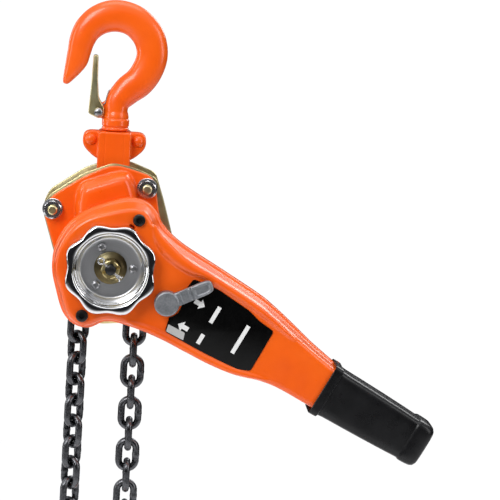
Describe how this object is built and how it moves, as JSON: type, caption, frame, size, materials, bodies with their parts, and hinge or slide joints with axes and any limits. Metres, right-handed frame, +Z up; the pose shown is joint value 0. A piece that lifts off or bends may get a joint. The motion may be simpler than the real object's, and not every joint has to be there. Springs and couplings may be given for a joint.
{
  "type": "lever chain hoist",
  "caption": "Ratchet lever chain hoist with swivel hooks at top and bottom, hand wheel, selector, long gripped lever and two strands of round link chain.",
  "frame": {"origin": "inner top of the top hook's bowl, where it hangs, on the swivel axis", "axes": "+X to the right seen from the hand wheel side, -Y towards the hand wheel, +Z up"},
  "size_m": [0.3291, 0.145, 0.6057],
  "materials": {
    "orange_paint": "glossy orange enamel on steel",
    "yellow_zinc": "yellow passivated zinc plate",
    "chrome": "bright chrome plate",
    "plain_steel": "machined steel",
    "dark_chain": "blackened alloy steel",
    "cast_zinc": "die cast zinc alloy",
    "black_rubber": "smooth moulded rubber",
    "black_steel": "black oxide",
    "black_label": "printed film",
    "friction_lining": "sintered lining"
  },
  "bodies": {
    "top_hook": {"top_hook": "orange_paint", "top_latch_pin": "plain_steel"},
    "top_latch": {"top_latch": "yellow_zinc"},
    "yoke": {"top_yoke_front": "orange_paint", "top_yoke_rear": "orange_paint", "top_yoke_rivet_left": "orange_paint", "top_yoke_rivet_right": "orange_paint"},
    "frame": {"side_plate_front": "yellow_zinc", "side_plate_rear": "yellow_zinc", "top_pin": "plain_steel", "stay_bolt_left": "plain_steel", "stay_bolt_right": "plain_steel", "stay_bolt_bottom": "plain_steel", "stay_nut_left": "chrome", "stay_nut_right": "chrome", "stay_nut_bottom": "chrome", "gear_case": "orange_paint", "brake_cover": "orange_paint", "sheave_bearing_front": "plain_steel", "sheave_bearing_rear": "plain_steel", "chain_stripper": "plain_steel", "ratchet_disc": "plain_steel"},
    "pawl_upper": {"brake_pawl_upper": "plain_steel"},
    "pawl_lower": {"brake_pawl_lower": "plain_steel"},
    "sheave": {"load_sheave": "plain_steel", "load_gear": "plain_steel", "chain_over_sheave": "dark_chain"},
    "disc_gear_upper": {"disc_gear_upper": "plain_steel"},
    "disc_gear_lower": {"disc_gear_lower": "plain_steel"},
    "drive": {"pinion_shaft": "plain_steel", "disc_hub": "plain_steel", "friction_disc_front": "friction_lining", "friction_disc_rear": "friction_lining", "changeover_gear": "plain_steel", "handwheel": "chrome", "cam_plate": "plain_steel", "spring_cover": "yellow_zinc", "castle_nut": "yellow_zinc", "split_pin": "plain_steel"},
    "lever": {"lever_front": "orange_paint", "lever_rear": "orange_paint", "grip": "black_rubber", "lever_screw_upper": "black_steel", "lever_screw_lower": "black_steel", "lever_label": "black_label"},
    "selector": {"selector_lever": "cast_zinc"},
    "changeover_pawl": {"changeover_pawl": "plain_steel"},
    "load_upper": {"load_chain_upper": "dark_chain"},
    "load_hang": {"load_chain": "dark_chain", "bottom_yoke_front": "orange_paint", "bottom_yoke_rear": "orange_paint", "bottom_yoke_rivet_left": "orange_paint", "bottom_yoke_rivet_right": "orange_paint", "chain_pin": "plain_steel"},
    "slack_upper": {"slack_chain_upper": "dark_chain"},
    "slack_hang": {"slack_chain": "dark_chain", "chain_end_ring": "plain_steel"},
    "bottom_hook": {"bottom_hook": "orange_paint", "bottom_latch_pin": "plain_steel"},
    "bottom_latch": {"bottom_latch": "yellow_zinc"}
  },
  "joints": [
    {"name": "top_latch_swing", "type": "hinge", "parent": "top_hook", "child": "top_latch", "pos_m": [-0.0143, 0, -0.0659], "axis": [0, 1, 0], "range_deg": [0, 20], "stiffness_Nm_per_rad": 0.02, "springref_deg": -28.65},
    {"name": "top_swivel", "type": "hinge", "parent": "top_hook", "child": "yoke", "pos_m": [0, 0, -0.088], "axis": [0, 0, 1], "continuous": true},
    {"name": "body_tilt", "type": "hinge", "parent": "yoke", "child": "frame", "pos_m": [0, 0, -0.121], "axis": [0, 1, 0], "range_deg": [0, 31]},
    {"name": "lever_swing", "type": "hinge", "parent": "frame", "child": "lever", "pos_m": [0.002, 0, -0.1842], "axis": [0, 1, 0], "continuous": true},
    {"name": "selector_turn", "type": "hinge", "parent": "lever", "child": "selector", "pos_m": [0.04855, 0, -0.20956], "axis": [0, 1, 0], "range_deg": [0, 106]},
    {"name": "changeover_pawl_turn", "type": "hinge", "parent": "lever", "child": "changeover_pawl", "pos_m": [0.04855, 0, -0.20956], "axis": [0, 1, 0], "range_deg": [0, 21.3]},
    {"name": "sheave_spin", "type": "hinge", "parent": "frame", "child": "sheave", "pos_m": [0.002, 0, -0.1842], "axis": [0, 1, 0], "range_deg": [-80, 80]},
    {"name": "disc_gear_upper_spin", "type": "hinge", "parent": "frame", "child": "disc_gear_upper", "pos_m": [0.00182, 0, -0.15795], "axis": [0, 1, 0], "range_deg": [-241, 241]},
    {"name": "disc_gear_lower_spin", "type": "hinge", "parent": "frame", "child": "disc_gear_lower", "pos_m": [0.00218, 0, -0.21045], "axis": [0, 1, 0], "range_deg": [-241, 241]},
    {"name": "drive_spin", "type": "hinge", "parent": "frame", "child": "drive", "pos_m": [0.002, 0, -0.1842], "axis": [0, 1, 0], "range_deg": [-601, 601]},
    {"name": "load_chain_slide", "type": "slide", "parent": "frame", "child": "load_upper", "axis": [0, 0, -1], "range_m": [-0.0321, 0.0321]},
    {"name": "slack_chain_slide", "type": "slide", "parent": "frame", "child": "slack_upper", "axis": [0, 0, 1], "range_m": [-0.0321, 0.0321]},
    {"name": "load_chain_swing", "type": "hinge", "parent": "load_upper", "child": "load_hang", "pos_m": [0.02552, 0, -0.2412], "axis": [0, 1, 0], "range_deg": [-25, 2.5]},
    {"name": "slack_chain_swing", "type": "hinge", "parent": "slack_upper", "child": "slack_hang", "pos_m": [-0.02152, 0, -0.2412], "axis": [-0.2588, 0.9659, 0], "range_deg": [-2.5, 10]},
    {"name": "bottom_swivel", "type": "hinge", "parent": "load_hang", "child": "bottom_hook", "pos_m": [0.02552, 0, -0.46], "axis": [0, 0, 1], "continuous": true},
    {"name": "bottom_latch_swing", "type": "hinge", "parent": "bottom_hook", "child": "bottom_latch", "pos_m": [0.03982, 0, -0.4878], "axis": [0, 1, 0], "range_deg": [0, 20], "stiffness_Nm_per_rad": 0.02, "springref_deg": -28.65},
    {"name": "pawl_upper_swing", "type": "hinge", "parent": "frame", "child": "pawl_upper", "pos_m": [0.00362, 0, -0.12982], "axis": [0, 1, 0], "range_deg": [0, 6], "stiffness_Nm_per_rad": 0.02, "springref_deg": -28.65},
    {"name": "pawl_lower_swing", "type": "hinge", "parent": "frame", "child": "pawl_lower", "pos_m": [-0.00966, 0, -0.21905], "axis": [0, 1, 0], "range_deg": [0, 4], "stiffness_Nm_per_rad": 0.02, "springref_deg": -28.65}
  ],
  "couplings": [
    {"joint": "disc_gear_upper_spin", "follows": "sheave_spin", "ratio": -3},
    {"joint": "disc_gear_lower_spin", "follows": "sheave_spin", "ratio": -3},
    {"joint": "drive_spin", "follows": "sheave_spin", "ratio": 7.5},
    {"joint": "load_chain_slide", "follows": "sheave_spin", "m_per_rad": 0.022918},
    {"joint": "slack_chain_slide", "follows": "sheave_spin", "m_per_rad": 0.022918},
    {"joint": "changeover_pawl_turn", "follows": "selector_turn", "ratio": 0.2}
  ]
}
